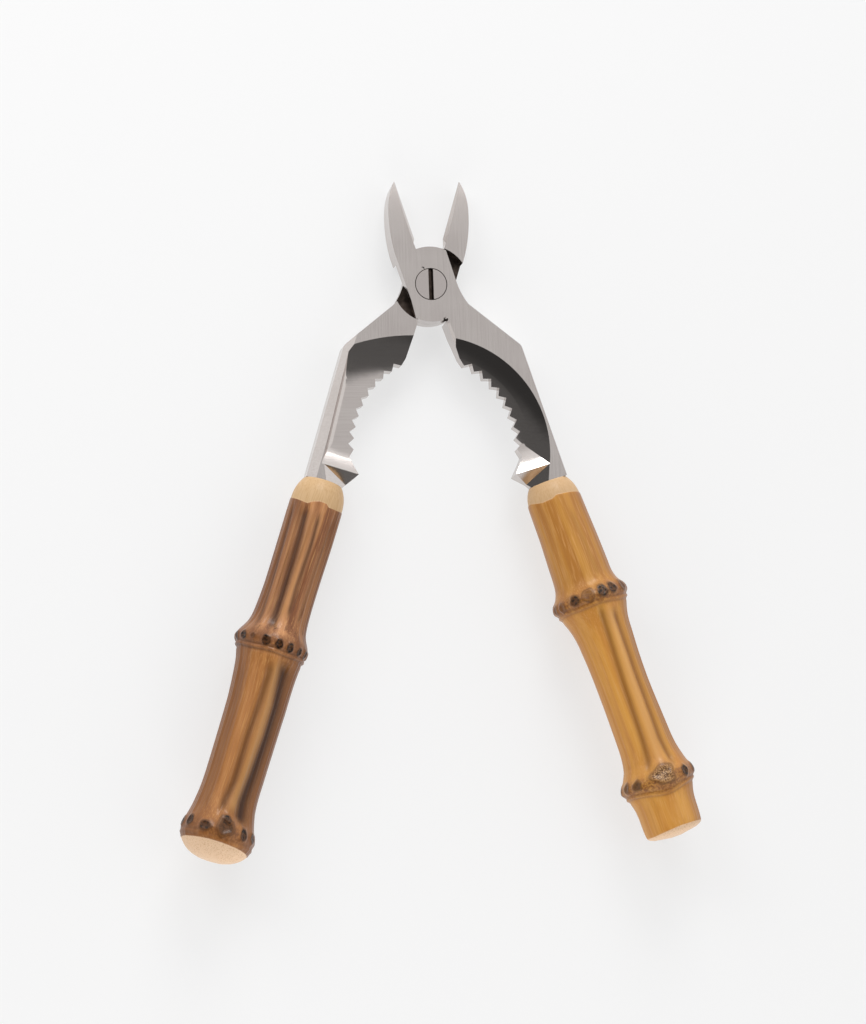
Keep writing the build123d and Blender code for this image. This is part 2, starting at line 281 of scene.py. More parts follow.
# Stainless screw, turned, and ground flush with the hub after it was driven home.
screwLook = {
    "tint": "#C9C1BE",
    "roughness": 0.22,
    "softEdge": 0.20,
    "softEdgeAngle": 30,
    "softEdgeRings": 2,
    "slotHalf": 0.6,
    "slotDepths": (0.05, 1.3),  # the slot's walls and floor lie between these below the face
}
screw = mergedCopy("pivot_screw", "pivotScrew", leverLook["flatWithin"], leverLook["crease"])
screw.data.materials.append(steelMaterial("groundScrewSteel", screwLook["tint"], screwLook["roughness"], "y"))
screw.data.materials.append(recessShadeSteel)
screwCentres = faceTable(screw.data)[0]
slotDepth = leverLook["faceHeight"] - screwCentres[:, 2]
inSlot = (slotDepth > screwLook["slotDepths"][0]) & (slotDepth < screwLook["slotDepths"][1])
inSlot &= np.abs(screwCentres[:, 0]) < screwLook["slotHalf"]
# the slot's walls and floor take the dark material: painted shade in the slot
screw.data.polygons.foreach_set("material_index", inSlot.astype(np.int32))
softenEdges(screw, screwLook["softEdge"], screwLook["softEdgeAngle"], screwLook["softEdgeRings"])
screw.modifiers["softEdges"].material = 1  # painted shade: the screw's rounded edges, the seam round its head among them, take the dark material
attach(screw, "left_half")
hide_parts("pivot_screw")
print("screw made")

# Two-part epoxy, poured and cured: amber and glossy. It lies inside the handles, out of sight.
glueLook = {"ior": 1.55, "roughness": 0.15, "clear": "#B08A4E", "cloudy": "#C6A468", "cloudSize": 4}
glueShader = {"IOR": glueLook["ior"], "Roughness": glueLook["roughness"]}
glue, glueTree, glueSurface = startMaterial("curedEpoxy", glueShader)
glueNoise = {
    "Vector": addNode(glueTree, "ShaderNodeTexCoord").outputs["Object"],
    "Scale": 1 / (glueLook["cloudSize"] * mm),
}
glueCloud = addNode(glueTree, "ShaderNodeTexNoise", inputs=glueNoise).outputs[0]
glueTints = {6: linearColour(glueLook["clear"]), 7: linearColour(glueLook["cloudy"])}
glueShade = addNode(glueTree, *colourBlend, {0: glueCloud, **glueTints})
glueTree.links.new(glueShade.outputs[2], glueSurface.inputs["Base Color"])
for resinName in ("left_tang_resin", "right_tang_resin"):
    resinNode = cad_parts[resinName]
    resinNode.data.materials.clear()
    resinNode.data.materials.append(glue)
print("glue coloured")

# Each handle is one length of bamboo root, scorched over a flame and lacquered. Places on it are
# (distance down the stem from its top, angle round it). Angle 0 faces up and 90 faces outwards.
gridLook = {
    "around": 216,
    "fine": 0.15,  # between rings near the knots and the top
    "coarse": 0.55,  # between rings elsewhere
    "knotReach": 6.5,
    "topReach": 11.0,
    "outlineStep": 0.05,
    "outlineBlur": 0.7,
    "outlineTaps": 30,
    "outlineSpare": 2.0,  # the outline is worked out this far past both ends
    "boreMargin": 1.05,  # a point further out than this share of the bore is on the skin
    "boreFloor": 0.5,  # and so is one this far below the bore's floor
    "sharpTop": (1.0, 3.0),  # nearer the top than this the turned outline is kept as it is
    "sharpButt": (-4.0, -2.5),  # and nearer the butt than this
}

# a root that was cut off flush shows its pale, hairy end grain
budLook = {"paleBelow": 0.35, "light": "#AF875B", "dark": "#56381F", "grain": 0.4}

leftBamboo = {
    "name": "leftBamboo",
    "node": "left_handle",
    "resin": "left_tang_resin",
    "body": "left_half",
    "slot": "dark_bamboo",
    "side": -1,
    "knots": (51.5, 109.5),
    "rings": (0.9, 0.35),  # how strong the thin line below each knot is
    "dips": (0.0, 0.6),  # how far each knot's band bends down round the bud that faces up
    # how far the stem wanders outwards from a straight line
    "bow": (
        (0, 0), (18, 0.05), (34, 0.3), (44, 0.6), (51, 1.0), (58, 0.5), (70, 0.1), (92, 0.25),
        (101, 0.45), (110, 0.2), (118, 0),
    ),
    # the skin starts below this line and ends above the butt line; above and below it is bare wood
    "skinTop": (
        (-180, 8.0), (-120, 7.2), (-81, 7.3), (-45, 7.9), (-22, 8.1), (-15, 7.3), (2, 7.2), (16, 7.9),
        (26, 8.7), (60, 7.8), (92, 7.1), (140, 7.6), (180, 8.0),
    ),
    "skinButt": (
        (-180, 113.8), (-90, 114.2), (-30, 113.5), (20, 113.3), (70, 113.7), (130, 114.2), (180, 113.8),
    ),
    # grooves and ridges: path, half width, depth (ridges negative), darkness of the painted shade along the
    # groove's bottom
    "grooves": (
        {
            "path": ((9, 27), (19, 22), (33, 20), (45, 18), (49, 16)),
            "width": 1.5, "depth": 0.6, "dark": 0.85,
        },
        {"path": ((10, -7), (20, -8), (34, -5), (44, -8)), "width": 0.75, "depth": 0.22, "dark": 0.7},
        {"path": ((9, 62), (25, 58), (40, 52), (48, 47)), "width": 0.8, "depth": 0.22, "dark": 0.55},
        {"path": ((9, 8), (24, 6), (42, 5)), "width": 1.2, "depth": -0.28, "dark": 0.0, "pale": 0.2},
        {"path": ((11, -42), (26, -38), (44, -35)), "width": 0.8, "depth": 0.15, "dark": 0.45},
        {
            "path": ((57, -2), (62, -2), (81, 5), (95, 4), (105, 12)),
            "width": 1.3, "depth": 0.65, "dark": 0.6,
        },
        {
            "path": ((56, -26), (60, -32), (70, -38), (79, -39), (91, -34), (100, -29), (107, -31)),
            "width": 2.7, "depth": 1.15, "dark": 1.0,
        },
        {
            "path": ((56, -13), (70, -17), (80, -17), (92, -14), (104, -8)),
            "width": 2.4, "depth": -0.5, "dark": 0.0, "pale": 0.6,
        },
        {"path": ((60, 52), (80, 48), (98, 45), (105, 44)), "width": 1.6, "depth": 0.22, "dark": 0.2},
        {"path": ((58, 120), (80, 128), (104, 124)), "width": 1.6, "depth": 0.4, "dark": 0.4},
        {"path": ((10, 150), (30, 158), (48, 150)), "width": 1.2, "depth": 0.35, "dark": 0.6},
        {"path": ((58, -130), (82, -122), (105, -128)), "width": 1.4, "depth": 0.45, "dark": 0.55},
        {"path": ((10, -110), (30, -104), (47, -112)), "width": 1.0, "depth": 0.25, "dark": 0.5},
    ),
    # root scars: (distance, angle, half length, half width, height of the rim, darkness)
    "scars": (
        (52.0, 80, 1.3, 1.1, 0.35, 0.8),
        (51.9, 58, 1.35, 1.25, 0.42, 1.0),
        (51.8, 39, 0.8, 0.8, 0.25, 0.5),
        (52.3, 16, 1.65, 1.3, 0.48, 1.0),
        (52.4, -5, 1.55, 1.2, 0.48, 1.0),
        (52.4, -24, 1.6, 1.05, 0.45, 1.0),
        (52.4, -44, 1.3, 1.0, 0.42, 0.9),
        (52.2, -64, 1.4, 1.1, 0.42, 0.9),
        (52.0, -86, 1.2, 1.0, 0.38, 0.9),
        (51.8, -108, 1.4, 1.2, 0.4, 1.0),
        (52.0, -131, 1.1, 1.0, 0.35, 0.7),
        (52.2, -152, 1.5, 1.2, 0.42, 1.0),
        (52.1, 176, 1.3, 1.1, 0.4, 0.9),
        (51.9, 150, 1.5, 1.2, 0.42, 1.0),
        (51.7, 127, 1.0, 0.9, 0.3, 0.7),
        (51.9, 103, 1.4, 1.1, 0.4, 0.9),
        (109.2, 84, 1.5, 1.3, 0.45, 0.9),
        (108.9, 59, 1.7, 1.3, 0.5, 0.95),
        (109.8, 28, 1.6, 1.9, 0.5, 0.75),
        (108.8, -3, 2.9, 2.6, 0.75, 0.62),
        (106.6, -3, 1.5, 1.3, 0.1, 1.0),
        (109.2, -36, 1.95, 1.2, 0.5, 1.0),
        (109.0, -62, 1.6, 1.3, 0.45, 0.9),
        (108.8, -90, 1.4, 1.2, 0.42, 0.9),
        (109.4, -118, 1.7, 1.4, 0.45, 1.0),
        (109.0, -148, 1.4, 1.3, 0.42, 0.8),
        (108.8, 178, 1.6, 1.3, 0.45, 1.0),
        (109.2, 146, 1.5, 1.2, 0.42, 0.9),
        (109.0, 115, 1.3, 1.3, 0.4, 0.8),
    ),
    "fluteHeight": 0.07,
    "darkAbove": 50.0,  # the scorched upper joint is darker than the one below
    "upperLight": "#BC8558",
    "upperDark": "#7C4D30",
    "lowerLight": "#AC7441",
    "lowerDark": "#976234",
    "streak": "#54311C",
    "streakShare": (0.75, 0.14),  # above and below the change of tone
    "pale": "#C9985F",
    "flank": "#6B4226",
    "flankShare": (0.8, 0.75),  # how strongly the inner and the outer side are darkened, painted shade where the stem turns away from the light
    # painted shade in the grooves, in the knots' creases and just under their lines
    "grooveShade": "#331A0C",
    "rim": "#74492A",
    "scar": "#150C08",
    "bare": "#C5A47C",
    # painted light: the butt's bare end is tinted paler than the bare top, making up for light its end doesn't
    # get
    "brightenedBareButt": "#DDBC9B",
    "buttPores": "#B9906A",
    "bareGrain": "#B9966A",
}

rightBamboo = {
    "name": "rightBamboo",
    "node": "right_handle",
    "resin": "right_tang_resin",
    "body": "right_half",
    "slot": "honey_bamboo",
    "side": 1,
    "knots": (37.2, 95.6),
    "rings": (0.7, 0.7),
    "dips": (0.0, 1.5),
    "bow": (
        (0, 0), (17, 0.3), (28, 0.25), (38, 0.0), (50, 0.45), (66, 0.5), (79, 0.75), (90, 0.9),
        (96, 0.35), (113, 0),
    ),
    "skinTop": (
        (-180, 5.2), (-110, 4.9), (-75, 4.8), (-40, 5.9), (-16, 5.7), (-5, 5.0), (16, 5.3), (50, 5.8),
        (74, 6.2), (130, 5.6), (180, 5.2),
    ),
    "skinButt": ((-180, 111.0), (-60, 111.2), (0, 110.6), (80, 111.0), (180, 111.0)),
    "grooves": (
        {
            "path": ((40, -3), (46, -4), (53, -7), (69, -13), (84, -19), (93, -25)),
            "width": 1.1, "depth": 0.62, "dark": 0.7,
        },
        {
            "path": ((42, 21), (48, 24), (57, 26), (71, 25), (84, 20), (93, 22)),
            "width": 1.2, "depth": 0.62, "dark": 0.7,
        },
        {
            "path": ((41, 9), (48, 10), (57, 9), (71, 6), (84, 1), (93, -1)),
            "width": 2.0, "depth": -0.42, "dark": 0.0, "pale": 0.55,
        },
        {"path": ((46, 52), (66, 50), (90, 46)), "width": 1.5, "depth": 0.16, "dark": 0.15},
        {"path": ((10, 12), (24, 15), (33, 18)), "width": 0.9, "depth": 0.08, "dark": 0.25},
        {"path": ((98, 4), (104, 2), (110, 0)), "width": 3.0, "depth": -0.2, "dark": 0.0},
        {"path": ((44, 140), (66, 146), (92, 138)), "width": 1.4, "depth": 0.4, "dark": 0.5},
        {"path": ((44, -120), (66, -128), (92, -118)), "width": 1.4, "depth": 0.3, "dark": 0.35},
        {"path": ((8, -150), (20, -146), (33, -152)), "width": 1.1, "depth": 0.2, "dark": 0.35},
    ),
    "scars": (
        (37.6, -84, 1.5, 1.4, 0.42, 0.5),
        (37.7, -63, 1.5, 1.4, 0.42, 0.45),
        (37.1, -37, 1.7, 1.6, 0.55, 0.8),
        (37.0, -15, 2.0, 1.9, 0.5, 0.4),
        (36.9, 8, 2.0, 1.6, 0.6, 1.0),
        (36.9, 26, 1.8, 1.5, 0.55, 0.95),
        (36.9, 52, 1.8, 1.6, 0.5, 0.6),
        (36.8, 80, 1.5, 1.2, 0.42, 0.8),
        (37.0, 106, 1.6, 1.4, 0.42, 0.9),
        (37.3, 132, 1.4, 1.3, 0.4, 0.7),
        (37.1, 157, 1.6, 1.4, 0.42, 0.9),
        (37.0, -176, 1.4, 1.3, 0.42, 0.7),
        (37.2, -151, 1.7, 1.4, 0.42, 0.9),
        (37.4, -128, 1.3, 1.2, 0.4, 0.6),
        (37.2, -106, 1.5, 1.3, 0.42, 0.8),
        (95.0, -72, 1.6, 1.4, 0.45, 0.6),
        (95.3, -48, 1.6, 1.7, 0.48, 0.65),
        (94.6, -3, 2.9, 3.4, 0.8, 0.28),
        (95.5, 35, 1.75, 1.35, 0.5, 1.0),
        (95.2, 66, 1.6, 1.2, 0.45, 0.85),
        (95.4, 94, 1.5, 1.3, 0.42, 0.8),
        (95.2, 122, 1.7, 1.4, 0.45, 0.9),
        (95.6, 150, 1.4, 1.3, 0.42, 0.7),
        (95.3, 178, 1.6, 1.3, 0.45, 0.9),
        (95.0, -154, 1.5, 1.3, 0.42, 0.7),
        (95.4, -126, 1.7, 1.4, 0.45, 0.9),
        (95.2, -99, 1.4, 1.2, 0.42, 0.7),
    ),
    "fluteHeight": 0.03,
    "darkAbove": 35.0,
    "upperLight": "#BF8942",
    "upperDark": "#A97236",
    "lowerLight": "#CF9649",
    "lowerDark": "#BE823E",
    "streak": "#A86D2C",
    "streakShare": (0.3, 0.3),
    "pale": "#D2A066",
    # painted shade on the stem's sides, strongest on the outer side
    "flank": "#935F2B",
    "flankShare": (0.3, 0.95),
    # painted shade in the grooves, in the knots' creases and just under their lines
    "grooveShade": "#6E431C",
    "rim": "#74482A",
    "scar": "#1E120B",
    "bare": "#C4A27B",
    # painted light: the butt's bare end is tinted paler than the bare top, making up for light its end doesn't
    # get
    "brightenedBareButt": "#DDBC9B",
    "buttPores": "#B9906A",
    "bareGrain": "#BC986C",
}

# How marks on the skin are shaped. Reaches are in millimetres unless a note says otherwise.
markLook = {
    "grooveStart": (-1.0, 4.0),  # a groove deepens between these, from its path's first point
    "grooveEnd": (-3.0, 1.5),  # and runs out between these, from its last
    "darkWidth": 0.95,  # in half widths of the groove
    "paleWidth": 0.7,
    "flutes": ((9, 0.3), (14, 2.1), (23, 4.4), (37, 1.2)),  # (how many round the stem, shift)
    "fluteTwist": 0.02,
    "fluteLoss": 0.8,  # how much weaker the flutes are at a knot
    "fluteCalm": 5,
    "fluteFrom": (6.0, 12.0),
    "dipAngle": -3,
    "dipReach": 4.5,
    "lineBelow": 2.9,  # the line's distance below its knot
    "leans": ((0.25, 2, 1.0), (0.15, 5, 1.3)),  # (height, how many round the stem, shift per knot)
    "line": (0.3, 0.38),  # (height, half width)
    "crease": (0.26, 0.45),
    "creaseAbove": 0.85,
    "hollow": (0.2, 0.5),
    "hollowBelow": 0.9,
    "underLineShade": (0.55, 0.55, 0.32),  # (darkness of the painted shade just under the line, distance below the line, half width)
    "creaseShade": (0.4, 0.4),  # (darkness of the painted shade in the crease, half width)
    "bandMiddle": 0.6,
    "bandHalf": 2.5,
    "waver": 0.035,  # how ragged a scar's outline is, for each millimetre of its size
    "boss": 1.5,  # these five are squares of the distance in half widths
    "pit": 0.42,
    "inside": 0.95,
    "budSize": 0.85,
    "halo": 1.7,
    "pitShare": 0.85,
    "edgeDark": 0.5,
    "edgeWidth": 0.2,
    "haloShare": 0.9,
}

skinLook = {
    "step": 0.14,  # the skin stands this far out of the peeled wood
    "sunk": 0.10,
    "stepHalf": 0.25,
    "calmTop": (0.3, 1.5),  # marks fade in between these distances from the top
    "calmButt": (0.4, 2.2),  # and out between these from the butt
    "flankFrom": 0.35,
    "leastRadius": 0.02,
    "insideBore": -5.0,  # counts as bare wood
}


def stemFrame(look):
    # The stem's axis is the glue sleeve's longest direction, laid level, and its top is where the
    # sleeve starts. Across is a quarter turn from the axis, towards the handle's outer side.
    sleeve = nodePoints(look["resin"])
    low, high = sleeve.min(0), sleeve.max(0)
    centre = (low + high) / 2
    down = np.linalg.svd(sleeve - centre, full_matrices=False)[2][0]
    down = np.array([down[0], down[1], 0.0]) * (1 if down[1] < 0 else -1)
    down /= np.linalg.norm(down)
    along = (sleeve - centre) @ down
    across = look["side"] * np.array([-down[1], down[0], 0.0])
    top = centre + down * along.min()
    return top, down, across


def boreSize(look, top, down):
    # The sleeve's depth along the stem and its largest radius.
    sleeve = nodePoints(look["resin"]) - top
    along = sleeve @ down
    return along.max(), np.linalg.norm(sleeve - along[:, None] * down, axis=1).max()


def stemRadius(look, top, down, distances):
    # The CAD handle's outline: the skin's radius at each distance, joined by straight lines and
    # then averaged under a bell curve so that the outline flows. The bore's points are left out.
    points = nodePoints(look["node"]) - top
    along = points @ down
    radius = np.linalg.norm(points - along[:, None] * down, axis=1)
    depth, bore = boreSize(look, top, down)
    outside = (radius > bore * gridLook["boreMargin"]) | (along > depth + gridLook["boreFloor"])
    order = np.argsort(along[outside])
    knownAlong, knownRadius = along[outside][order], radius[outside][order]
    end = knownAlong.max()
    taps, step = gridLook["outlineTaps"], gridLook["outlineStep"]
    fineAlong = np.arange(-gridLook["outlineSpare"], end + gridLook["outlineSpare"], step)
    fineRadius = np.interp(fineAlong, knownAlong, knownRadius)
    spread = np.exp(-((np.arange(-taps, taps + 1) * step / gridLook["outlineBlur"]) ** 2))
    padded = np.pad(fineRadius, taps, mode="edge")
    smooth = np.convolve(padded, spread / spread.sum(), mode="valid")
    blend = ease(*gridLook["sharpTop"], fineAlong) * (1 - ease(*gridLook["sharpButt"], fineAlong - end))
    return np.interp(distances, fineAlong, smooth * blend + fineRadius * (1 - blend))


def roundTrip(angle, centre, radius):
    # The way round the stem from one angle to another, in millimetres, by the shorter side.
    return np.radians((angle - centre + 180) % 360 - 180) * radius


def bell(x, power=2):
    # 1 in the middle and falling away on both sides: e to minus x to the power.
    return np.exp(-(x**power))


def stemRows(look, length):
    # Distances of the rings: close together at the knots and the top, wider between them.
    fine = np.arange(0, length, gridLook["fine"])
    near = np.abs(fine[:, None] - np.array(look["knots"])).min(1) < gridLook["knotReach"]
    near |= fine < gridLook["topReach"]
    gap = np.where(near, 1.0, gridLook["fine"] / gridLook["coarse"])
    step = np.floor(np.cumsum(gap))
    keep = np.concatenate([[True], np.diff(step) > 0])
    return np.concatenate([fine[keep], [length]])


def carveGrooves(look, s, angle, radius):
    # Groove or ridge: a bell curve across its path, eased in and out at the path's ends.
    height, grooveShade, ridge = np.zeros_like(s), np.zeros_like(s), np.zeros_like(s)
    for cut in look["grooves"]:
        path = np.array(cut["path"], float)
        middle = np.interp(s, path[:, 0], path[:, 1])
        away = roundTrip(angle, middle, radius) / cut["width"]
        begun = ease(*(path[0, 0] + np.array(markLook["grooveStart"])), s)
        ended = ease(*(path[-1, 0] + np.array(markLook["grooveEnd"])), s)
        present = begun * (1 - ended)
        height -= cut["depth"] * present * bell(away)
        # painted shade: the groove's bottom is darkened
        grooveShade = np.maximum(grooveShade, cut["dark"] * present * bell(away / markLook["darkWidth"]))
        ridge = np.maximum(ridge, cut.get("pale", 0) * present * bell(away / markLook["paleWidth"]))
    return height, grooveShade, ridge


def carveFlutes(look, s, angle):
    # Flutes: sines of several counts round the stem, twisting slowly down it, weak at the knots.
    turn = np.radians(angle)
    flutes = sum(np.sin(turn * n + shift + markLook["fluteTwist"] * s) for n, shift in markLook["flutes"])
    quiet = np.ones_like(s)
    for knot in look["knots"]:
        quiet *= 1 - markLook["fluteLoss"] * bell((s - knot) / markLook["fluteCalm"])
    return look["fluteHeight"] * flutes * quiet * ease(*markLook["fluteFrom"], s)


def carveKnots(look, s, angle, radius):
    # Line: a bell curve along the stem below each knot, with a crease above it and a shallow hollow
    # under it. It leans by two sines round the stem and dips under the bud that faces up. The
    # browned band is a bell curve to the fourth power.
    height, grooveShade, rim = np.zeros_like(s), np.zeros_like(s), np.zeros_like(s)
    turn = np.radians(angle)
    above, under = markLook["creaseAbove"], markLook["underLineShade"]
    for knot, ring, dip in zip(look["knots"], look["rings"], look["dips"]):
        bend = dip * bell(roundTrip(angle, markLook["dipAngle"], radius) / markLook["dipReach"])
        lean = sum(rise * np.sin(turn * n + shift * knot) for rise, n, shift in markLook["leans"])
        below = s - (knot + markLook["lineBelow"] + lean + bend)
        line = markLook["line"][0] * bell(below / markLook["line"][1])
        crease = markLook["crease"][0] * bell((below + above) / markLook["crease"][1])
        hollow = markLook["hollow"][0] * bell((below - markLook["hollowBelow"]) / markLook["hollow"][1])
        height += ring * (line - crease - hollow)
        band = (s - knot - markLook["bandMiddle"] - bend / 2) / (markLook["bandHalf"] + bend / 2)
        rim = np.maximum(rim, bell(band, 4))
        # painted shade: the crease above the line and the hollow just under it are darkened
        grooveShade = np.maximum(grooveShade, ring * under[0] * bell((below - under[1]) / under[2]))
        creaseShade = markLook["creaseShade"][0] * bell((below + above) / markLook["creaseShade"][1])
        grooveShade = np.maximum(grooveShade, ring * creaseShade)
    return height, grooveShade, rim


def carveScars(look, s, angle, radius):
    # Scar: a boss with a pit in it, both bell curves of the squared distance from its middle, whose
    # outline wavers by two sines. Inside it is dark, and a browned halo lies round it.
    height, scar, rim, bud = (np.zeros_like(s) for _ in range(4))
    for distance, centre, halfLength, halfWidth, rise, dark in look["scars"]:
        down, sideways = (s - distance) / halfLength, roundTrip(angle, centre, radius) / halfWidth
        spin = np.arctan2(sideways, down)
        waver = markLook["waver"] * (halfLength + halfWidth)
        ragged = 1 + waver * np.sin(3 * spin + centre) + 0.6 * waver * np.sin(5 * spin + 2 * distance)
        squared = (down**2 + sideways**2) * ragged
        height += rise * bell(squared / markLook["boss"])
        height -= markLook["pitShare"] * rise * bell(squared / markLook["pit"])
        inside = dark * bell(squared / markLook["inside"], 5)
        outline = markLook["edgeDark"] * bell((np.sqrt(squared) - 1.0) / markLook["edgeWidth"])
        scar = np.maximum(scar, np.maximum(inside, outline))
        if dark < budLook["paleBelow"]:
            bud = np.maximum(bud, bell(squared / markLook["budSize"], 4))
        rim = np.maximum(rim, markLook["haloShare"] * bell(squared / markLook["halo"]))
    return height, scar, rim, bud


def carveStem(look, s, angle, radius):
    # How far the skin stands out of the turned outline is the sum of all marks. How dark it is comes
    # from the strongest mark of each kind there.
    grooveHeight, grooveShade, ridge = carveGrooves(look, s, angle, radius)
    knotHeight, knotGroove, knotRim = carveKnots(look, s, angle, radius)
    scarHeight, scar, scarRim, bud = carveScars(look, s, angle, radius)
    height = grooveHeight + carveFlutes(look, s, angle) + knotHeight + scarHeight
    grooveShade, rim = np.maximum(grooveShade, knotGroove), np.maximum(knotRim, scarRim)
    return height, {"grooveShade": grooveShade, "ridge": ridge, "scar": scar, "rim": rim, "bud": bud}


def makeHandle(look):
    # A point of the skin lies on the axis at its distance, moved outwards by the bow, and stands off
    # it at its angle by the outline's radius plus the marks. The bore's wall and floor close the
    # shell from the inside, and a fan of triangles closes each end.
    top, down, across = stemFrame(look)
    depth, bore = boreSize(look, top, down)
    length = ((nodePoints(look["node"]) - top) @ down).max()
    rows = stemRows(look, length)
    aroundCount = gridLook["around"]
    angles = np.arange(aroundCount) * 360 / aroundCount - 180
    s, angle = np.meshgrid(rows, angles, indexing="ij")
    base = np.repeat(stemRadius(look, top, down, rows)[:, None], aroundCount, 1)
    base = np.maximum(base, skinLook["leastRadius"])
    height, marks = carveStem(look, s, angle, base)
    skinTop = np.interp(angle, *np.array(look["skinTop"], float).T)
    skinButt = np.interp(angle, *np.array(look["skinButt"], float).T)
    skin = np.minimum(s - skinTop, skinButt - s)
    half = skinLook["stepHalf"]
    height += skinLook["step"] * ease(-half, half, skin) - skinLook["sunk"]
    calm = ease(*skinLook["calmTop"], s) * ease(*skinLook["calmButt"], length - s)
    radius = base + height * calm
    bow = np.interp(s, *np.array(look["bow"], float).T)
    turn = np.radians(angle)[..., None]
    upwards = np.array([0, 0, 1.0])
    outward = np.sin(turn) * across + np.cos(turn) * upwards
    outer = top + s[..., None] * down + bow[..., None] * across + radius[..., None] * outward
    boreRows = np.array([depth, depth / 2, 0.0])
    ring = outward[:1] * bore
    place = np.concatenate([top + boreRows[:, None, None] * down + ring, outer])

    # what the material reads: marks on the skin, and each point's own place along the stem
    # painted shade: the stem's sides are darkened where they turn away from the light, each side by its own
    # share
    innerSideShade, outerSideShade = look["flankShare"]
    flank = ease(skinLook["flankFrom"], 1.0, np.abs(np.sin(turn[..., 0])))
    marks["flank"] = flank * np.where(angle > 0, outerSideShade, innerSideShade)
    fields = {"skin": (skinLook["insideBore"], skin), **{name: (0.0, mark) for name, mark in marks.items()}}
    outerStem = np.stack([radius * np.sin(turn[..., 0]), radius * np.cos(turn[..., 0]), s], -1)
    boreStem = np.stack([ring @ across, ring @ upwards, ring[..., 0] * 0], -1)
    boreStem = np.repeat(boreStem, len(boreRows), 0)
    boreStem[..., 2] = boreRows[:, None]
    stem = np.concatenate([boreStem, outerStem]).reshape(-1, 3)
    stem = np.concatenate([stem, [[0, 0, depth], [0, 0, length]]])

    poles = np.stack([top + depth * down, top + length * down])
    vertices = np.concatenate([place.reshape(-1, 3), poles]) * mm
    rowCount = len(place)
    index = np.arange(rowCount * aroundCount).reshape(rowCount, aroundCount)
    beside = np.roll(index, -1, 1)
    quads = np.stack([index[:-1], index[1:], beside[1:], beside[:-1]], -1).reshape(-1, 4)
    floorPole, buttPole = rowCount * aroundCount, rowCount * aroundCount + 1
    floorFan = np.stack([np.full(aroundCount, floorPole), index[0], beside[0]], -1)
    buttFan = np.stack([np.full(aroundCount, buttPole), beside[-1], index[-1]], -1)
    if look["side"] < 0:  # this handle is mirrored, so its faces are turned to point outwards
        quads, floorFan, buttFan = quads[:, ::-1], floorFan[:, ::-1], buttFan[:, ::-1]
    mesh = bpy.data.meshes.new(look["name"])
    mesh.from_pydata(vertices.tolist(), [], quads.tolist() + floorFan.tolist() + buttFan.tolist())
    mesh.polygons.foreach_set("use_smooth", np.ones(len(mesh.polygons), bool))
    for name, (inside, field) in fields.items():
        wall = np.full(len(boreRows) * aroundCount, inside)
        values = np.concatenate([wall, field.reshape(-1), [inside, field[-1, 0]]]).astype(np.float32)
        mesh.attributes.new(name, "FLOAT", "POINT").data.foreach_set("value", values)
    stemPlace = mesh.attributes.new("stem", "FLOAT_VECTOR", "POINT")
    stemPlace.data.foreach_set("vector", stem.astype(np.float32).ravel())
    mesh.update()
    piece = bpy.data.objects.new(look["name"], mesh)
    bpy.context.scene.collection.objects.link(piece)
    mesh.materials.append(bambooMaterial(look))
    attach(piece, look["body"])
    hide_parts(look["node"])
    print(look["name"], "quads", len(quads), "length", round(float(length), 1))


lacquerLook = {
    "shader": {"IOR": 1.5, "Specular IOR Level": 0.22, "Coat Weight": 0.16, "Coat Roughness": 0.2},
    "skinRoughness": 0.36,
    "bareRoughness": 0.55,
    "skinEdge": 0.12,
    # noise along the stem: (across, along, detail)
    "broad": (3.2, 60, 1.0),
    "streak": (1.1, 45, 4.0),
    "fibre": (0.3, 9, 2.0),
    "speckScale": 1.4,
    "toneChange": 8,  # the scorched tone gives way to the lower one over this length
    "fibreShare": 0.22,
    "paleFibreShare": 0.45,
    "grooveShadeShare": 0.95,
    "poreShare": 0.6,
    "fibreRelief": 0.5,
    "reliefDepth": 0.12,
    "reliefStrength": 0.6,
}


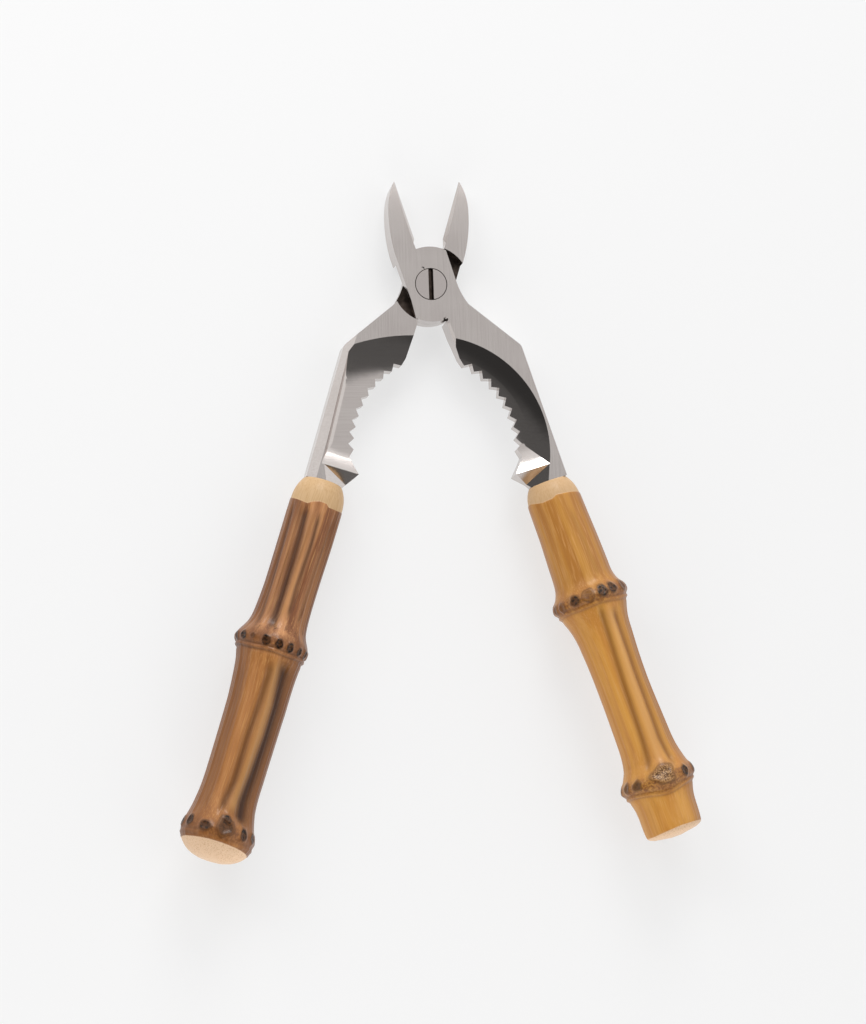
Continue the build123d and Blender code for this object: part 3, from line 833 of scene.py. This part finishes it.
def bambooMaterial(look):
    # Flame-browned bamboo under clear lacquer: a warm, streaky brown with long fibres, a soft
    # gloss on top of it, and near-black pits where the roots were cut off. One tint is laid over
    # another, each by a share, in the order of the layers below.
    material, tree, surface = startMaterial(look["name"] + "Lacquered", lacquerLook["shader"])
    read = {}
    for name in ("skin", "grooveShade", "ridge", "scar", "rim", "bud", "flank", "stem"):
        node = addNode(tree, "ShaderNodeAttribute", {"attribute_name": name})
        read[name] = node.outputs["Vector" if name == "stem" else "Fac"]
    distance = addNode(tree, "ShaderNodeSeparateXYZ", inputs={0: read["stem"]}).outputs[2]
    noise = {}
    for name in ("broad", "streak", "fibre"):
        across, along, detail = lacquerLook[name]
        squeeze = {"Vector": read["stem"], "Scale": (1 / across, 1 / across, 1 / along)}
        turned = addNode(tree, "ShaderNodeMapping", inputs=squeeze).outputs[0]
        settings = {"Vector": turned, "Scale": 1.0, "Detail": detail}
        noise[name] = addNode(tree, "ShaderNodeTexNoise", inputs=settings).outputs[0]
    for name, scale, detail in (("speck", lacquerLook["speckScale"], 3.0), ("hair", 1 / budLook["grain"], 2.0)):
        settings = {"Vector": read["stem"], "Scale": scale, "Detail": detail}
        noise[name] = addNode(tree, "ShaderNodeTexNoise", inputs=settings).outputs[0]

    # each pattern stretched from its own range: (value, from low, from high, to low, to high)
    middle = sum(look["knots"]) / 2
    edge = lacquerLook["skinEdge"]
    spans = {
        "lower": (distance, look["darkAbove"], look["darkAbove"] + lacquerLook["toneChange"], 0.0, 1.0),
        "pastMiddle": (distance, middle - 1, middle + 1, 0.0, 1.0),
        "broad": (noise["broad"], 0.32, 0.68, 0.0, 1.0),
        "streak": (noise["streak"], 0.52, 0.74, 0.0, 1.0),
        "darkFibre": (noise["fibre"], 0.5, 0.8, 0.0, 1.0),
        "paleFibre": (noise["fibre"], 0.52, 0.25, 0.0, 1.0),
        "bareFibre": (noise["fibre"], 0.35, 0.75, 0.0, 1.0),
        "rimSpeck": (noise["speck"], 0.3, 0.7, 0.35, 0.95),
        "scarSpeck": (noise["speck"], 0.36, 0.62, 1.0, 0.62),
        "scar": (read["scar"], 0.1, 0.85, 0.0, 1.0),
        "budHair": (noise["hair"], 0.42, 0.6, 0.0, 1.0),
        "pore": (noise["hair"], 0.5, 0.68, 0.0, 1.0),
        "onSkin": (read["skin"], -edge, edge, 0.0, 1.0),
        "roughness": (read["skin"], -edge, edge, lacquerLook["bareRoughness"], lacquerLook["skinRoughness"]),
    }
    part = {name: addNode(tree, *stretch, dict(enumerate(span))).outputs[0] for name, span in spans.items()}
    strength = {0: part["lower"], 1: 0.0, 2: 1.0, 3: look["streakShare"][0], 4: look["streakShare"][1]}
    part["strength"] = addNode(tree, *stretch, strength).outputs[0]

    # shares that are one value times another
    pairs = {
        "streakShare": (part["streak"], part["strength"]),
        "fibreShare": (part["darkFibre"], lacquerLook["fibreShare"]),
        "paleShare": (part["paleFibre"], lacquerLook["paleFibreShare"]),
        "grooveShadeShare": (read["grooveShade"], lacquerLook["grooveShadeShare"]),
        "rimShare": (read["rim"], part["rimSpeck"]),
        "scarShare": (part["scar"], part["scarSpeck"]),
        "poreShare": (part["pore"], lacquerLook["poreShare"]),
        "fibreRelief": (noise["fibre"], lacquerLook["fibreRelief"]),
    }
    share = {name: addNode(tree, *product, dict(enumerate(pair))).outputs[0] for name, pair in pairs.items()}
    share["paleShare"] = addNode(tree, *larger, {0: share["paleShare"], 1: read["ridge"]}).outputs[0]

    # tints that are a blend of two others: (share, first, second)
    tint = {name: linearColour(look[name]) for name in look if str(look[name]).startswith("#")}
    tint["budLight"], tint["budDark"] = linearColour(budLook["light"]), linearColour(budLook["dark"])
    blends = (
        ("light", part["lower"], "upperLight", "lowerLight"),
        ("dark", part["lower"], "upperDark", "lowerDark"),
        ("wood", part["broad"], "light", "dark"),
        ("endGrain", part["budHair"], "budLight", "budDark"),
        ("peeled", part["bareFibre"], "bare", "bareGrain"),
        # the butt's paler tint is painted light; its pores are the end grain's own
        ("butt", share["poreShare"], "brightenedBareButt", "buttPores"),
        ("uncovered", part["pastMiddle"], "peeled", "butt"),
    )
    for name, amount, first, second in blends:
        tint[name] = addNode(tree, *colourBlend, {0: amount, 6: tint[first], 7: tint[second]}).outputs[2]
    # painted shade: two of these layers darken the stem's sides and the bottoms of its grooves and creases
    layers = (
        (share["streakShare"], "streak"),
        (share["fibreShare"], "streak"),
        (share["paleShare"], "pale"),
        (read["flank"], "flank"),
        (share["grooveShadeShare"], "grooveShade"),
        (share["rimShare"], "rim"),
        (share["scarShare"], "scar"),
        (read["bud"], "endGrain"),
    )
    colour = tint["wood"]
    for amount, name in layers:
        colour = addNode(tree, *colourBlend, {0: amount, 6: colour, 7: tint[name]}).outputs[2]
    colour = addNode(tree, *colourBlend, {0: part["onSkin"], 6: tint["uncovered"], 7: colour}).outputs[2]
    tree.links.new(colour, surface.inputs["Base Color"])
    tree.links.new(part["roughness"], surface.inputs["Roughness"])

    # relief: the fibres, and specks where a rim or a scar is
    marked = addNode(tree, *total, {0: read["rim"], 1: read["scar"]}).outputs[0]
    specks = addNode(tree, *product, {0: noise["speck"], 1: marked}).outputs[0]
    relief = addNode(tree, *total, {0: share["fibreRelief"], 1: specks}).outputs[0]
    raised = {"Distance": lacquerLook["reliefDepth"] * mm, "Strength": lacquerLook["reliefStrength"]}
    bump = addNode(tree, "ShaderNodeBump", inputs={"Height": relief, **raised})
    tree.links.new(bump.outputs[0], surface.inputs["Normal"])
    return material


makeHandle(leftBamboo)
makeHandle(rightBamboo)

stageLook = {
    "floorSize": 6000,
    "floorGap": 0.3,  # left under the tool, so that it doesn't touch the sheet
    "floor": "#8C8C8C",
    "glow": "#F7F7F7",
    "floorGlow": 0.675,  # a sheet of opal acrylic lit from below, so that shadows stay faint
    "floorRoughness": 0.9,
    "slopes": (-0.3, 0.3),  # the floor's slope is looked for between these
    "halvings": 40,
}


def restingSlope():
    # At rest the tool lies on its blade tips and on the knots of its handles. The floor's slope along
    # Y is found by halving: it touches from below on both sides of the tool's middle. The floor
    # doesn't follow the joint, so when the tool is wide open its right handle dips into the sheet.
    everything = np.concatenate([nodePoints(name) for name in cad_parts])
    middle = (everything[:, 1].min() + everything[:, 1].max()) / 2
    low, high = stageLook["slopes"]
    for _ in range(stageLook["halvings"]):
        slope = (low + high) / 2
        height = everything[:, 2] - slope * everything[:, 1]
        touching = everything[height.argmin(), 1]
        low, high = (slope, high) if touching < middle else (low, slope)
    return slope, height.min()


slope, level = restingSlope()
half = stageLook["floorSize"] / 2 * mm
floorLevel = (level - stageLook["floorGap"]) * mm
corners = [
    (x * half, y * half, floorLevel + slope * y * half) for x, y in ((-1, -1), (1, -1), (1, 1), (-1, 1))
]
floorMesh = bpy.data.meshes.new("floor")
floorMesh.from_pydata(corners, [], [(0, 1, 2, 3)])
floor = bpy.data.objects.new("floor", floorMesh)
bpy.context.scene.collection.objects.link(floor)
floorShade = {
    "Roughness": stageLook["floorRoughness"],
    "Base Color": linearColour(stageLook["floor"]),
    "Emission Color": linearColour(stageLook["glow"]),
    "Emission Strength": stageLook["floorGlow"],
}
floorMesh.materials.append(startMaterial("opalAcrylicTable", floorShade)[0])
print("floor slope", round(slope, 4), "level", round(float(level), 2))

# The room: pale all round, greyer overhead, and dark over the handles' side. A patch is 1 near its
# direction and 0 far from it, by the cosine of the angle between them.
roomLook = {
    "light": 1.0,
    "greyCard": 0.74,  # brightness of the card round the lens, which the flat faces mirror
    "dark": (0.12, 0.045),  # brightness of the drape at its edge and in its middle, for the hollows
    "hem": (0.26, 0.46),  # the drape ends this high, so that light still comes in under it
    "patches": {
        "card": {"towards": (0.19, 0.16, 0.97), "edge": (0.90, 0.97)},
        "drape": {"towards": (-0.45, -0.60, 0.66), "edge": (0.485, 0.575)},
        "deep": {"towards": (-0.45, -0.60, 0.66), "edge": (0.66, 0.82)},
    },
}
world = bpy.data.worlds.new("paleRoom")
bpy.context.scene.world = world
world.use_nodes = True
room = world.node_tree
room.nodes.clear()
direction = addNode(room, "ShaderNodeTexCoord").outputs["Generated"]
upwards = addNode(room, "ShaderNodeSeparateXYZ", inputs={0: direction}).outputs[2]
near = {}
for patchName, patch in roomLook["patches"].items():
    centre = Vector(patch["towards"]).normalized()
    cosine = addNode(room, "ShaderNodeVectorMath", {"operation": "DOT_PRODUCT"}, {0: direction, 1: centre})
    span = {0: cosine.outputs["Value"], 1: patch["edge"][0], 2: patch["edge"][1]}
    near[patchName] = addNode(room, *stretch, span).outputs[0]
span = {0: near["card"], 1: 0.0, 2: 1.0, 3: roomLook["light"], 4: roomLook["greyCard"]}
card = addNode(room, *stretch, span).outputs[0]
span = {0: upwards, 1: roomLook["hem"][0], 2: roomLook["hem"][1]}
hem = addNode(room, *stretch, span).outputs[0]
drape = addNode(room, *product, {0: near["drape"], 1: hem}).outputs[0]
uncovered = addNode(room, "ShaderNodeMath", {"operation": "SUBTRACT"}, {0: 1.0, 1: drape}).outputs[0]
span = {0: near["deep"], 1: 0.0, 2: 1.0, 3: roomLook["dark"][0], 4: roomLook["dark"][1]}
dark = addNode(room, *stretch, span).outputs[0]
lit = addNode(room, *product, {0: card, 1: uncovered}).outputs[0]
bright = addNode(room, *larger, {0: lit, 1: dark}).outputs[0]
background = addNode(room, "ShaderNodeBackground", inputs={"Color": (1, 1, 1, 1), "Strength": bright})
addNode(room, "ShaderNodeOutputWorld", inputs={"Surface": background.outputs[0]})
print("room made")

# A large soft box beyond the blades, a softer light from the side, and a low one for the butts.
lampLook = {
    "softBox": {"place": (60, 800, 650), "aim": (0, -60, 0), "size": 500, "power": 5.5, "mirrored": True},
    "sideFill": {"place": (-550, 450, 650), "aim": (0, -100, 0), "size": 500, "power": 3.2, "mirrored": False},
    "lowFill": {"place": (-80, -900, 200), "aim": (0, -190, 0), "size": 400, "power": 3.2, "mirrored": False},
}
for lampName, lampSetting in lampLook.items():
    lamp = bpy.data.lights.new(lampName, "AREA")
    lamp.shape = "SQUARE"
    lamp.size = lampSetting["size"] * mm
    lamp.energy = lampSetting["power"]
    lampObject = bpy.data.objects.new(lampName, lamp)
    bpy.context.scene.collection.objects.link(lampObject)
    lampPlace = Vector(lampSetting["place"]) * mm
    lampObject.location = lampPlace
    lampAim = Vector(lampSetting["aim"]) * mm - lampPlace
    lampObject.rotation_euler = lampAim.to_track_quat("-Z", "Y").to_euler()
    lampObject.visible_glossy = lampSetting["mirrored"]
print("lamps set", len(lampLook))

cameraLook = {
    "aim": (-1.1, -69.1, 4.0),
    "towards": (-0.188, -0.162, 0.969),  # from the tool to the camera
    "distance": 1300,
    "roll": 2.0,
    "lens": 152.3,
    "sensor": 36,
    "farthest": 20,  # in metres
}
towards = Vector(cameraLook["towards"]).normalized()
up = (Vector((0, 1, 0)) - towards * towards.y).normalized()
right = up.cross(towards)
roll = math.radians(cameraLook["roll"])
rolledUp = up * math.cos(roll) + right * math.sin(roll)
rolledRight = right * math.cos(roll) - up * math.sin(roll)
camera = bpy.data.cameras.new("camera")
camera.lens = cameraLook["lens"]
camera.sensor_width = cameraLook["sensor"]
camera.clip_end = cameraLook["farthest"]
cameraObject = bpy.data.objects.new("camera", camera)
bpy.context.scene.collection.objects.link(cameraObject)
eye = (Vector(cameraLook["aim"]) + towards * cameraLook["distance"]) * mm
turned = Matrix((rolledRight, rolledUp, towards)).transposed().to_4x4()
cameraObject.matrix_world = Matrix.Translation(eye) @ turned
bpy.context.scene.camera = cameraObject
bpy.context.scene.view_settings.view_transform = "Standard"
print("camera set")
